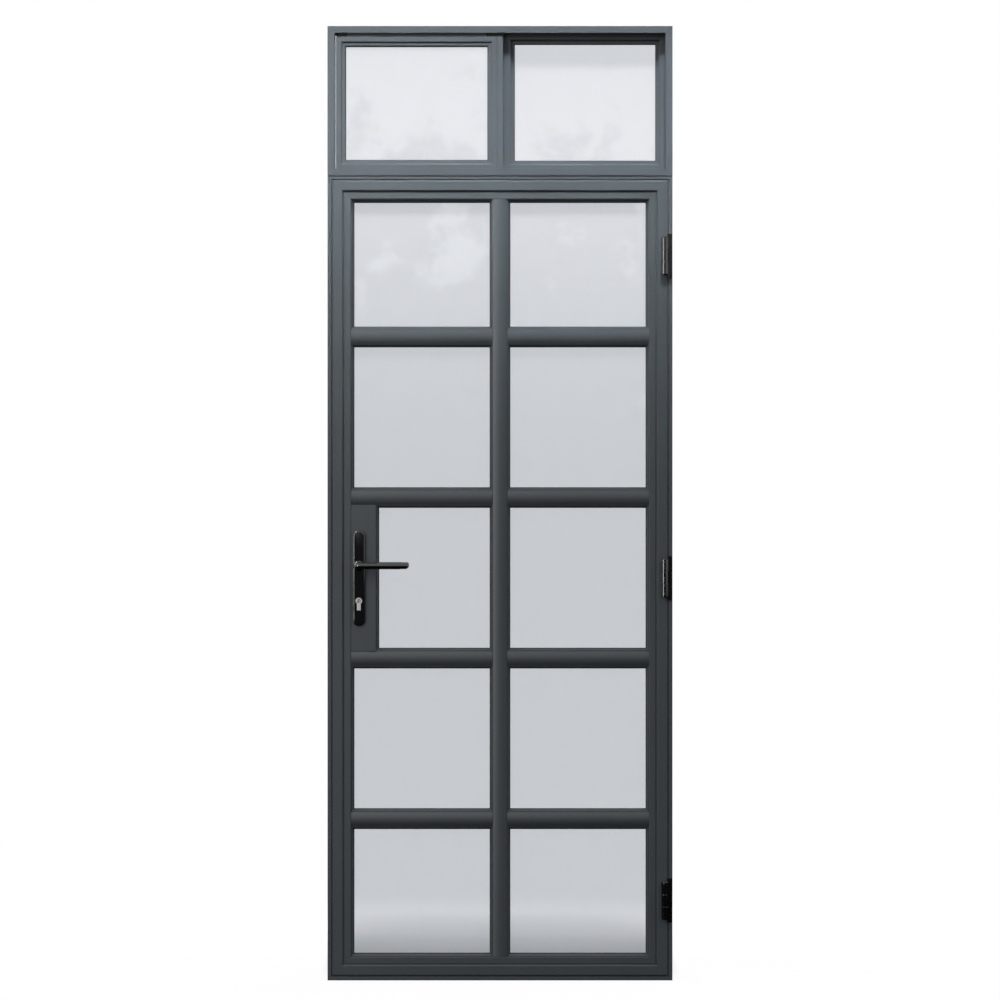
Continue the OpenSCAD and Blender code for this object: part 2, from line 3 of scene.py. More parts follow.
import bmesh
import bpy
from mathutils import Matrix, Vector


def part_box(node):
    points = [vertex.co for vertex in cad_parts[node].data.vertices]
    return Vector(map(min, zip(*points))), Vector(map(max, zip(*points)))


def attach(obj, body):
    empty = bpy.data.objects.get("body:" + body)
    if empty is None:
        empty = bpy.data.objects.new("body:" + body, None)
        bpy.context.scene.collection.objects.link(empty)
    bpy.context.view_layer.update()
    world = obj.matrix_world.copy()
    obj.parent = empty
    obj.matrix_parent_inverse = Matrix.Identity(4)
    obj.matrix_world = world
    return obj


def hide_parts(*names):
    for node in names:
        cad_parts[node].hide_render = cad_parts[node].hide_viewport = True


bl_info = {
    "name": "Glass door",
    "version": (1, 0, 0),
    "blender": (4, 5, 0),
    "location": "3D View > Sidebar > Door",
    "description": "Finishes a slim aluminium glass door round its packed solids",
    "category": "Object",
}

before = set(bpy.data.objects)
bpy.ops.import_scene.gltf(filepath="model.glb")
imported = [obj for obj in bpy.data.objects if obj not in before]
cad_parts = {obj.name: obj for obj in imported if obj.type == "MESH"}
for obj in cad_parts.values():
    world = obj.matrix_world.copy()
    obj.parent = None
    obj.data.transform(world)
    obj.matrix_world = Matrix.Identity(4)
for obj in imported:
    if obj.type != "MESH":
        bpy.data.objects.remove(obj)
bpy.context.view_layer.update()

MM = 0.001
WELD = 1e-6  # vertices closer than this are one
SHARP = math.radians(35)  # edges turned further than this are rounded
SEED = 7

# Bars, by the body that they ride on
BARS = {
    "frame": [
        "door_jamb_left", "door_jamb_right", "door_frame_head", "door_sill",
        "window_jamb_left", "window_jamb_right", "window_head", "window_sill",
        "fixed_light_frame", "meeting_post"],
    "leaf": [
        "leaf_stile_lock", "leaf_stile_hinge", "leaf_rail_top", "leaf_rail_bottom",
        "glazing_post", "crossbar_1", "crossbar_2", "crossbar_3", "crossbar_4",
        "lock_panel", "lock_post"],
    "sash": [
        "sash_stile_left", "sash_stile_right", "sash_rail_top", "sash_rail_bottom",
        "sash_interlock"],
}
BEADS = ["beads_left", "beads_right"]
DOOR_PANES = [f"glass_{row}_{side}" for row in range(1, 6) for side in ("left", "right")]
WINDOW_PANES = ["sash_glass", "fixed_light_glass"]
HINGES = ["bottom", "middle", "top"]


# Small tools

def linear(colour):
    """An sRGB hex colour as linear red, green, blue and alpha."""
    parts = [int(colour[i:i + 2], 16) / 255 for i in (1, 3, 5)]
    return (*[v / 12.92 if v <= 0.04045 else ((v + 0.055) / 1.055) ** 2.4 for v in parts], 1.0)


def add(tree, kind, inputs=None, **settings):
    """A new node with these settings; each input takes a value or another node's socket."""
    made = tree.nodes.new(kind)
    for name, value in settings.items():
        setattr(made, name, value)
    for key, value in (inputs or {}).items():
        if isinstance(value, bpy.types.NodeSocket):
            tree.links.new(value, made.inputs[key])
        else:
            made.inputs[key].default_value = value
    return made


def new_material(name):
    """A new material's empty node tree and its output node."""
    made = bpy.data.materials.new(name)
    made.use_nodes = True
    made.node_tree.nodes.clear()
    return made.node_tree, add(made.node_tree, "ShaderNodeOutputMaterial")


def noise(tree, size_mm, detail=2.0, rough=0.5, stretch=(1, 1, 1)):
    """A noise whose features are about size_mm across, on the piece's own coordinates."""
    place = add(tree, "ShaderNodeTexCoord")
    mapped = add(tree, "ShaderNodeMapping", {
        "Vector": place.outputs["Object"],
        "Scale": tuple(s / (size_mm * MM) for s in stretch)})
    return add(tree, "ShaderNodeTexNoise", {
        "Vector": mapped.outputs["Vector"], "Scale": 1.0, "Detail": detail,
        "Roughness": rough})


def ramp(tree, value, low, high, to_low, to_high):
    """value, moved from the range low to high into to_low to to_high."""
    return add(tree, "ShaderNodeMapRange", {
        "Value": value, "From Min": low, "From Max": high, "To Min": to_low,
        "To Max": to_high}).outputs["Result"]


def between(tree, texture, low, high):
    """The span that a noise mostly keeps to, 0.3 to 0.7, stretched from low to high."""
    return ramp(tree, texture.outputs["Fac"], 0.3, 0.7, low, high)


def maths(tree, operation, *values):
    """The result of a math node on numbers or sockets."""
    return add(
        tree, "ShaderNodeMath", dict(enumerate(values)), operation=operation).outputs["Value"]


def shade(tree, colour, factor, other):
    """colour mixed towards other by factor."""
    mix = add(tree, "ShaderNodeMix", data_type="RGBA")
    for socket in mix.inputs:
        if socket.type == "RGBA":
            socket.default_value = colour if socket.name == "A" else other
    tree.links.new(factor, mix.inputs["Factor"])
    return next(s for s in mix.outputs if s.type == "RGBA")


def weld(mesh):
    """Joins the mesh's loose triangles and clears the edges inside flat faces."""
    work = bmesh.new()
    work.from_mesh(mesh)
    bmesh.ops.remove_doubles(work, verts=work.verts, dist=WELD)
    bmesh.ops.dissolve_limit(
        work, angle_limit=math.radians(0.5), verts=work.verts, edges=work.edges)
    work.to_mesh(mesh)
    work.free()


def outwards(mesh):
    """Turns every face of a closed mesh outwards."""
    work = bmesh.new()
    work.from_mesh(mesh)
    bmesh.ops.remove_doubles(work, verts=work.verts, dist=WELD)
    bmesh.ops.recalc_face_normals(work, faces=work.faces)
    work.to_mesh(mesh)
    work.free()


def smooth(mesh, angle=30.0):
    """Smooth shading up to an angle between faces."""
    mesh.polygons.foreach_set("use_smooth", [True] * len(mesh.polygons))
    mesh.set_sharp_from_angle(angle=math.radians(angle))


def new_piece(name, mesh, coat, body, stands_for=()):
    """Puts a mesh in the scene as a piece that rides on a body."""
    mesh.name = name
    piece = bpy.data.objects.new(name, mesh)
    bpy.context.scene.collection.objects.link(piece)
    mesh.materials.clear()
    mesh.materials.append(coat)
    if stands_for:
        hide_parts(*stands_for)
    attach(piece, body)
    return piece


def mesh_from(verts, faces):
    """A closed mesh with its faces outwards."""
    mesh = bpy.data.meshes.new("part")
    mesh.from_pydata(verts, [], faces)
    outwards(mesh)
    return mesh


def node_copy(node):
    """A merged copy of a CAD node's mesh, in new data."""
    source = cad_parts[node].data
    mesh = bpy.data.meshes.new(node + "_copy")
    mesh.from_pydata(
        [v.co[:] for v in source.vertices], [], [p.vertices[:] for p in source.polygons])
    weld(mesh)
    return mesh


def rounded(piece, width, segments=2, by_weight=False):
    """Rounds the piece's edges with a live bevel."""
    bevel = piece.modifiers.new("rounded edges", "BEVEL")
    bevel.width = width
    bevel.segments = segments
    bevel.limit_method = "WEIGHT" if by_weight else "ANGLE"
    bevel.angle_limit = SHARP
    bevel.harden_normals = True
    bevel.miter_outer = "MITER_ARC"


def ring(section, low, high):
    """A mitred strip round the box's XZ rectangle; section: inward distance and depth Y."""
    verts, faces = [], []
    count = len(section)
    for inward, depth in section:
        left, right = low.x + inward, high.x - inward
        bottom, top = low.z + inward, high.z - inward
        verts += [
            (left, depth, bottom), (right, depth, bottom), (right, depth, top), (left, depth, top)]
    for j in range(count):
        k = (j + 1) % count
        for i in range(4):
            m = (i + 1) % 4
            faces.append((j * 4 + i, j * 4 + m, k * 4 + m, k * 4 + i))
    return verts, faces


def upright(start, end, front, back, bottom, top):
    """A closed box between these limits in X, Y and Z."""
    outline = [(start, front), (end, front), (end, back), (start, back)]
    verts = [(x, y, z) for z in (bottom, top) for x, y in outline]
    faces = [(0, 1, 2, 3), (4, 5, 6, 7)]
    faces += [(i, (i + 1) % 4, 4 + (i + 1) % 4, 4 + i) for i in range(4)]
    return verts, faces


def joined(parts):
    """One list of vertices and faces from several."""
    verts, faces = [], []
    for some, its_faces in parts:
        start = len(verts)
        verts += some
        faces += [tuple(start + i for i in face) for face in its_faces]
    return verts, faces


def turned(profile, steps, place):
    """A closed turned shape: profile is distance along the axis and radius, ends at radius 0."""
    verts = []
    for along, radius in profile:
        for i in range(steps):
            angle = 2 * math.pi * i / steps
            verts.append(place(along, radius * math.cos(angle), radius * math.sin(angle)))
    return verts, tube(len(profile), steps)


def tube(rows, steps):
    """The faces between rows of vertices, each row closed on itself."""
    faces = []
    for j in range(rows - 1):
        for i in range(steps):
            m = (i + 1) % steps
            faces.append((j * steps + i, j * steps + m, (j + 1) * steps + m, (j + 1) * steps + i))
    return faces


def quarter(steps):
    """Angles from 0 to a quarter turn, both ends included."""
    return [math.pi / 2 * i / steps for i in range(steps + 1)]


def evaluated(maker):
    """The object's evaluated result as a plain mesh."""
    bpy.context.view_layer.update()
    seen = maker.evaluated_get(bpy.context.evaluated_depsgraph_get())
    return bpy.data.meshes.new_from_object(seen)


# Materials

def powder_coat(name, colour, roughness, mirror=0.5, bumpy=0.18, fleck=0.05):
    # Polyester powder coat: a faint orange peel breaks up the shine, clouds give it depth
    tree, output = new_material(name)
    peel = noise(tree, 2.6, detail=3.0)
    cloud = noise(tree, 140.0, detail=2.0)
    grain = noise(tree, 0.7, detail=1.0)
    factor = between(tree, cloud, 0.0, 1.0)
    lighter = tuple(min(1.0, c * (1 + 2 * fleck)) for c in colour[:3]) + (1.0,)
    darker = tuple(c * (1 - fleck) for c in colour[:3]) + (1.0,)
    rough = between(tree, grain, roughness - 0.04, roughness + 0.05)
    bump = add(tree, "ShaderNodeBump", {
        "Height": peel.outputs["Fac"], "Strength": bumpy, "Distance": 0.0002})
    body = add(tree, "ShaderNodeBsdfPrincipled", {
        "Base Color": shade(tree, darker, factor, lighter), "Roughness": rough,
        "Specular IOR Level": mirror, "Normal": bump.outputs["Normal"]})
    tree.links.new(body.outputs["BSDF"], output.inputs["Surface"])


GLASS_INDEX = 1.5


def milky_glass(name, tint, film_colour, film):
    # Laminated float glass: tinted, with a thin pale film, mirror-smooth outside.
    # Fresnel turns its index round at rear faces, so rear faces are given the inverse
    tree, output = new_material(name)
    dust = noise(tree, 60.0, detail=4.0, rough=0.6)
    share = between(tree, dust, film * 0.94, film * 1.06)
    wave = noise(tree, 260.0, detail=1.0)
    bump = add(tree, "ShaderNodeBump", {
        "Height": wave.outputs["Fac"], "Strength": 0.06, "Distance": 0.001})
    clear = add(tree, "ShaderNodeBsdfTransparent", {"Color": tint})
    pale = add(tree, "ShaderNodeBsdfDiffuse", {"Color": film_colour})
    glow = add(tree, "ShaderNodeBsdfTranslucent", {"Color": film_colour})
    milk = add(tree, "ShaderNodeMixShader", {
        0: 0.25, 1: pale.outputs["BSDF"], 2: glow.outputs["BSDF"]})
    body = add(tree, "ShaderNodeMixShader", {
        0: share, 1: clear.outputs["BSDF"], 2: milk.outputs["Shader"]})
    mirror = add(tree, "ShaderNodeBsdfGlossy", {
        "Color": (1, 1, 1, 1), "Roughness": 0.01, "Normal": bump.outputs["Normal"]})
    face = add(tree, "ShaderNodeNewGeometry")
    index = ramp(tree, face.outputs["Backfacing"], 0.0, 1.0, GLASS_INDEX, 1 / GLASS_INDEX)
    gloss = add(tree, "ShaderNodeFresnel", {"IOR": index})
    both = add(tree, "ShaderNodeMixShader", {
        0: gloss.outputs["Fac"], 1: body.outputs["Shader"], 2: mirror.outputs["BSDF"]})
    tree.links.new(both.outputs["Shader"], output.inputs["Surface"])


def brushed_metal(name, colour, roughness, stretch):
    # Plated and brushed metal: fine lines along one way break up the shine
    tree, output = new_material(name)
    lines = noise(tree, 0.5, detail=2.0, stretch=stretch)
    cloud = noise(tree, 18.0, detail=2.0)
    rough = between(tree, lines, roughness - 0.07, roughness + 0.08)
    factor = between(tree, cloud, 0.0, 1.0)
    dull = tuple(c * 0.86 for c in colour[:3]) + (1.0,)
    bump = add(tree, "ShaderNodeBump", {
        "Height": lines.outputs["Fac"], "Strength": 0.12, "Distance": 0.0001})
    body = add(tree, "ShaderNodeBsdfPrincipled", {
        "Base Color": shade(tree, colour, factor, dull), "Metallic": 1.0,
        "Roughness": rough, "Normal": bump.outputs["Normal"]})
    tree.links.new(body.outputs["BSDF"], output.inputs["Surface"])


def rubber(name, colour):
    # Extruded EPDM: matt, with a faint paler bloom
    tree, output = new_material(name)
    bloom = noise(tree, 6.0, detail=3.0)
    factor = ramp(tree, bloom.outputs["Fac"], 0.35, 0.7, 0.0, 1.0)
    pale = tuple(min(1.0, c * 1.6) for c in colour[:3]) + (1.0,)
    bump = add(tree, "ShaderNodeBump", {
        "Height": bloom.outputs["Fac"], "Strength": 0.1, "Distance": 0.0002})
    body = add(tree, "ShaderNodeBsdfPrincipled", {
        "Base Color": shade(tree, colour, factor, pale), "Roughness": 0.75,
        "Normal": bump.outputs["Normal"]})
    tree.links.new(body.outputs["BSDF"], output.inputs["Surface"])


def pile_fibre(name, colour):
    # Siliconised polypropylene pile: matt fibres, some tufts paler than their neighbours
    tree, output = new_material(name)
    tuft = noise(tree, 1.2, detail=1.0)
    factor = between(tree, tuft, 0.0, 1.0)
    pale = tuple(min(1.0, c * 2.2) for c in colour[:3]) + (1.0,)
    body = add(tree, "ShaderNodeBsdfPrincipled", {
        "Base Color": shade(tree, colour, factor, pale), "Roughness": 0.85})
    tree.links.new(body.outputs["BSDF"], output.inputs["Surface"])


def studio_floor(name, near, far, glow):
    # Painted studio floor: glows to the camera, so that it fades into the white round it from
    # near to far; a painted shadow dims that glow in a soft patch behind the closed door, seen
    # through the lowest panes
    tree, output = new_material(name)
    place = add(tree, "ShaderNodeTexCoord")
    side = add(tree, "ShaderNodeSeparateXYZ", {"Vector": place.outputs["Object"]})
    ray = add(tree, "ShaderNodeLightPath")
    to_camera, to_shine = ray.outputs["Is Camera Ray"], ray.outputs["Is Glossy Ray"]
    apart = add(tree, "ShaderNodeVectorMath", {0: place.outputs["Object"]}, operation="LENGTH")
    factor = add(tree, "ShaderNodeMapRange", {
        "Value": apart.outputs["Value"], "From Min": near, "From Max": far},
        interpolation_type="SMOOTHSTEP")
    mottle = noise(tree, 400.0, detail=2.0)
    tone = between(tree, mottle, 0.095, 0.105)
    paint = add(tree, "ShaderNodeBsdfDiffuse", {
        "Color": maths(tree, "MULTIPLY", tone, ramp(tree, to_shine, 0.0, 1.0, 1.0, 0.2))})
    # Painted shadow: the glow is dimmed by up to 44 % in a patch as wide as the door, from just
    # behind it and fading out 1.45 m behind it
    width = maths(tree, "ABSOLUTE", side.outputs["X"])
    within = ramp(tree, width, 0.41, 0.48, 1.0, 0.0)
    behind = ramp(tree, side.outputs["Y"], 0.0, 0.25, 0.0, 1.0)
    depth = ramp(tree, side.outputs["Y"], 0.58, 1.45, 0.44, 0.0)
    painted_shadow = maths(tree, "MULTIPLY", maths(tree, "MULTIPLY", within, behind), depth)
    painted_shadow_factor = maths(tree, "SUBTRACT", 1.0, painted_shadow)
    near_glow = add(tree, "ShaderNodeEmission", {
        "Strength": maths(tree, "MULTIPLY", painted_shadow_factor, ramp(tree, to_camera, 0.0, 1.0, 0.0, glow))})
    far_glow = add(tree, "ShaderNodeEmission", {
        "Strength": ramp(tree, to_camera, 0.0, 1.0, 0.06, 1.0)})
    close = add(tree, "ShaderNodeAddShader", {
        0: paint.outputs["BSDF"], 1: near_glow.outputs["Emission"]})
    both = add(tree, "ShaderNodeMixShader", {
        0: factor.outputs["Result"], 1: close.outputs["Shader"],
        2: far_glow.outputs["Emission"]})
    tree.links.new(both.outputs["Shader"], output.inputs["Surface"])


def material(name, maker, *values, **named):
    """The material of that name; maker builds it the first time that it is asked for."""
    if name not in bpy.data.materials:
        maker(name, *values, **named)
    return bpy.data.materials[name]


def grey_coat():
    """Bars of frame, leaf and sash."""
    colours = bpy.context.scene.door_colours
    return material("anthracite_powder_coat", powder_coat, tuple(colours.grey), colours.grey_rough)


def bead_coat():
    """Glazing beads, a shade darker than the bars."""
    colours = bpy.context.scene.door_colours
    return material("grey_bead_coat", powder_coat, tuple(colours.bead), colours.grey_rough)


def black_coat():
    """Handles and hinges: almost black, shiny and nearly without peel."""
    colours = bpy.context.scene.door_colours
    return material(
        "gloss_black_powder_coat", powder_coat, tuple(colours.black), colours.black_rough,
        mirror=0.8, bumpy=0.04)


def steel():
    return material("zinc_plated_steel", brushed_metal, linear("#b9bcc0"), 0.30, (1, 1, 0.05))


def bright_steel():
    return material("nickelled_cylinder", brushed_metal, linear("#c9cacc"), 0.34, (1, 0.05, 1))


def brass():
    return material("cast_brass", brushed_metal, linear("#c7b78f"), 0.28, (0.05, 1, 1))


def nickel():
    return material("nickelled_brass", brushed_metal, linear("#d2d1cc"), 0.26, (1, 0.05, 1))


def black_rubber():
    return material("epdm_rubber", rubber, linear("#17181a"))


# Settings

class DoorColours(bpy.types.PropertyGroup):
    grey: bpy.props.FloatVectorProperty(
        name="Frame colour", description="Powder coat of frame and leaf", size=4,
        subtype="COLOR", min=0, max=1, default=linear("#3b444b"))
    bead: bpy.props.FloatVectorProperty(
        name="Bead colour", description="Powder coat of the glazing beads", size=4,
        subtype="COLOR", min=0, max=1, default=linear("#373f46"))
    black: bpy.props.FloatVectorProperty(
        name="Hardware colour", description="Coat of handle and hinges", size=4,
        subtype="COLOR", min=0, max=1, default=linear("#050507"))
    grey_rough: bpy.props.FloatProperty(
        name="Frame roughness", description="Roughness of the grey coat",
        subtype="FACTOR", min=0.1, max=1, default=0.5)
    black_rough: bpy.props.FloatProperty(
        name="Hardware roughness", description="Roughness of the black coat",
        subtype="FACTOR", min=0.05, max=1, default=0.09)
    tint: bpy.props.FloatVectorProperty(
        name="Glass tint", description="What one face of the glass lets through", size=4,
        subtype="COLOR", min=0, max=1, default=(0.837, 0.851, 0.875, 1))
    film: bpy.props.FloatProperty(
        name="Glass film", description="Share of each face that is milky",
        subtype="FACTOR", min=0, max=1, default=0.09)


class DoorTrim(bpy.types.PropertyGroup):
    edge: bpy.props.FloatProperty(
        name="Edge radius", description="Rounding of the bars' long edges",
        unit="LENGTH", min=0, default=0.45 * MM)
    bead_edge: bpy.props.FloatProperty(
        name="Bead edge radius", description="Rounding of the beads' edges",
        unit="LENGTH", min=0, default=0.35 * MM)
    lip: bpy.props.FloatProperty(
        name="Gasket lip", description="Width of the gasket that shows on the glass",
        unit="LENGTH", min=0, default=2.0 * MM)
    bead_cover: bpy.props.FloatProperty(
        name="Bead cover", description="How far a bead covers the edge of its glass",
        unit="LENGTH", min=0, default=4.0 * MM)
    sash_cover: bpy.props.FloatProperty(
        name="Sash cover", description="How far a window bar covers the edge of its glass",
        unit="LENGTH", min=0, default=8.0 * MM)
    tuft: bpy.props.FloatProperty(
        name="Tuft spacing", description="Distance between tufts of the pile seals",
        unit="LENGTH", min=0.0005, default=1.3 * MM)
    screw: bpy.props.FloatProperty(
        name="Screw head", description="Radius of the small screws' heads",
        unit="LENGTH", min=0, default=3.1 * MM)


class DoorStage(bpy.types.PropertyGroup):
    distance: bpy.props.FloatProperty(
        name="Camera distance", description="Camera to the door's face",
        unit="LENGTH", min=1, default=9.0)
    width: bpy.props.FloatProperty(
        name="View width", description="Width that the view takes in at the door's face",
        unit="LENGTH", min=0.5, default=2.609)
    height: bpy.props.FloatProperty(
        name="View height", description="Height of the view's middle above the floor",
        unit="LENGTH", default=1.2536)
    key: bpy.props.FloatProperty(
        name="Key light", description="Power of the soft box above the door",
        unit="POWER", min=0, default=13.5)
    gleam: bpy.props.FloatProperty(
        name="Gleam", description="Power of each panel that only shiny faces show",
        unit="POWER", min=0, default=130.0)
    sky: bpy.props.FloatProperty(
        name="Front light", description="Soft light that comes from straight ahead",
        min=0, default=0.3)
    side: bpy.props.FloatProperty(
        name="Side light", description="Soft light that comes from the sides and above",
        min=0, default=0.9)
    rim: bpy.props.FloatProperty(
        name="Rim shine", description="What edges turned sideways reflect",
        min=0, default=1.6)


# Pieces

class DOOR_OT_bars(bpy.types.Operator):
    """Coats the bars and beads and rounds their edges"""
    bl_idname = "door.bars"
    bl_label = "Bars and beads"

    def execute(self, context):
        trim = context.scene.door_trim
        for body, nodes in BARS.items():
            for node in nodes:
                mesh = node_copy(node)
                smooth(mesh)
                bar = new_piece(
                    node + "_bar", mesh, grey_coat(), body, [node])
                rounded(bar, trim.edge)
        for node in BEADS:
            mesh = node_copy(node)
            smooth(mesh)
            bead = new_piece(
                "glazing_" + node, mesh, bead_coat(), "leaf", [node])
            rounded(bead, trim.bead_edge)
        return {"FINISHED"}


class DOOR_OT_glass(bpy.types.Operator):
    """Gives every pane its glass"""
    bl_idname = "door.glass"
    bl_label = "Glass"

    def execute(self, context):
        colours = context.scene.door_colours
        glass = material(
            "milky_laminated_glass", milky_glass, tuple(colours.tint),
            linear("#dfe3e8"), colours.film)
        for node in DOOR_PANES + WINDOW_PANES:
            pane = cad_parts[node]
            pane.data.materials.clear()
            pane.data.materials.append(glass)
        return {"FINISHED"}


class DOOR_OT_gaskets(bpy.types.Operator):
    """Lays a rubber lip round each pane, front and rear"""
    bl_idname = "door.gaskets"
    bl_label = "Glazing gaskets"

    def execute(self, context):
        trim = context.scene.door_trim
        for name, panes, body, cover, height in (
                ("door", DOOR_PANES, "leaf", trim.bead_cover, 3.2 * MM),
                ("sash", ["sash_glass"], "sash", trim.sash_cover, 2.2 * MM),
                ("fixed_light", ["fixed_light_glass"], "frame", trim.sash_cover, 2.6 * MM)):
            for side, way in (("front", -1), ("rear", 1)):
                parts = []
                for pane in panes:
                    low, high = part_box(pane)
                    glass = low.y if way < 0 else high.y
                    tucked = cover - 0.2 * MM
                    section = [(tucked, glass), (tucked, glass + way * height)]
                    section += [
                        (cover + out * trim.lip, glass + way * up * height)
                        for out, up in ((0.35, 1.0), (0.8, 0.72), (1.0, 0.3), (1.0, 0.0))]
                    parts.append(ring(section, low, high))
                mesh = mesh_from(*joined(parts))
                smooth(mesh, 50)
                new_piece(f"{name}_gaskets_{side}", mesh, black_rubber(), body)
        return {"FINISHED"}


class DOOR_OT_frame_seal(bpy.types.Operator):
    """Puts the bulb seal in the door frame's groove"""
    bl_idname = "door.frame_seal"
    bl_label = "Frame seal"

    def execute(self, context):
        low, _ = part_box("door_jamb_left")
        _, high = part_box("door_jamb_right")
        mouth = low.y + 13 * MM
        root = mouth + 3.6 * MM
        start, end = 19.4 * MM, 22.6 * MM
        middle, half, rise = (start + end) / 2, 1.6 * MM, 1.0 * MM
        bulb = [
            (middle + half * math.cos(a), mouth - 0.2 * MM - rise * math.sin(a))
            for a in (math.pi * i / 8 for i in range(9))]
        section = [(end, root)] + bulb + [(start, root)]
        mesh = mesh_from(*ring(section, low, high))
        smooth(mesh, 50)
        new_piece("frame_seal", mesh, black_rubber(), "frame")
        return {"FINISHED"}


class DOOR_OT_edge_seal(bpy.types.Operator):
    """Runs a soft grey lip round the leaf, inside the gap to the frame"""
    bl_idname = "door.edge_seal"
    bl_label = "Edge seal"

    def execute(self, context):
        low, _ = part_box("leaf_stile_lock")
        _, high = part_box("leaf_stile_hinge")
        lip = material("grey_epdm_rubber", rubber, linear("#33383c"))
        section = [
            (0.1 * MM, low.y + 3.2 * MM), (-1.2 * MM, low.y + 2.9 * MM),
            (-2.4 * MM, low.y + 3.4 * MM), (-2.5 * MM, low.y + 4.2 * MM),
            (-1.2 * MM, low.y + 4.6 * MM), (0.1 * MM, low.y + 6.0 * MM)]
        mesh = mesh_from(*ring(section, low, high))
        smooth(mesh, 50)
        new_piece("leaf_edge_seal", mesh, lip, "leaf")
        return {"FINISHED"}


def pile_tree():
    """Nodes that stand tufts of fibre along a line, their tips spread by a fixed seed."""
    tree = bpy.data.node_groups.new("pile_seal", "GeometryNodeTree")
    face = tree.interface
    face.new_socket("Geometry", in_out="OUTPUT", socket_type="NodeSocketGeometry")
    for name, kind in (
            ("Start", "NodeSocketVector"), ("End", "NodeSocketVector"),
            ("Count", "NodeSocketInt"), ("Rows", "NodeSocketInt"),
            ("Row Step", "NodeSocketVector"), ("Tuft", "NodeSocketFloat"),
            ("Width", "NodeSocketFloat"), ("Turn", "NodeSocketRotation"),
            ("Seed", "NodeSocketInt"), ("Fibre", "NodeSocketMaterial")):
        face.new_socket(name, in_out="INPUT", socket_type=kind)
    given = add(tree, "NodeGroupInput")
    result = add(tree, "NodeGroupOutput")
    line = add(tree, "GeometryNodeMeshLine", {
        "Count": given.outputs["Count"], "Start Location": given.outputs["Start"],
        "Offset": given.outputs["End"]}, mode="END_POINTS")
    rows = add(tree, "GeometryNodeMeshLine", {
        "Count": given.outputs["Rows"], "Offset": given.outputs["Row Step"]}, mode="OFFSET")
    spread = add(tree, "GeometryNodeInstanceOnPoints", {
        "Points": rows.outputs["Mesh"], "Instance": line.outputs["Mesh"]})
    points = add(tree, "GeometryNodeRealizeInstances", {"Geometry": spread.outputs["Instances"]})
    fibre = add(tree, "GeometryNodeMeshCone", {
        "Vertices": 4, "Radius Top": 0.0, "Radius Bottom": given.outputs["Width"],
        "Depth": given.outputs["Tuft"]}, fill_type="NONE")
    lean = add(tree, "FunctionNodeRandomValue", {
        0: (-0.22, -0.22, -3.0), 1: (0.22, 0.22, 3.0), "Seed": given.outputs["Seed"]},
        data_type="FLOAT_VECTOR")
    turn = add(tree, "FunctionNodeRotateRotation", {
        "Rotation": given.outputs["Turn"]}, rotation_space="LOCAL")
    tilt = add(tree, "FunctionNodeEulerToRotation", {0: lean.outputs["Value"]})
    tree.links.new(tilt.outputs["Rotation"], turn.inputs["Rotate By"])
    long = add(tree, "FunctionNodeRandomValue", {
        2: 0.86, 3: 1.0, "Seed": given.outputs["Seed"]}, data_type="FLOAT")
    tufts = add(tree, "GeometryNodeInstanceOnPoints", {
        "Points": points.outputs["Geometry"], "Instance": fibre.outputs["Mesh"],
        "Rotation": turn.outputs["Rotation"], "Scale": long.outputs["Value"]})
    real = add(tree, "GeometryNodeRealizeInstances", {"Geometry": tufts.outputs["Instances"]})
    done = add(tree, "GeometryNodeSetMaterial", {
        "Geometry": real.outputs["Geometry"], "Material": given.outputs["Fibre"]})
    tree.links.new(done.outputs["Geometry"], result.inputs["Geometry"])
    return tree


def run_nodes(tree, name, **values):
    """The plain mesh that a tree gives for these inputs, set by their sockets' identifiers."""
    maker = bpy.data.objects.new(name, bpy.data.meshes.new(name))
    bpy.context.scene.collection.objects.link(maker)
    modifier = maker.modifiers.new(name, "NODES")
    modifier.node_group = tree
    for socket in tree.interface.items_tree:
        if getattr(socket, "in_out", "") == "INPUT":
            modifier[socket.identifier] = values[socket.name.replace(" ", "_")]
    mesh = evaluated(maker)
    mesh.name = name
    leftover = maker.data
    bpy.data.objects.remove(maker)
    bpy.data.meshes.remove(leftover)
    return mesh


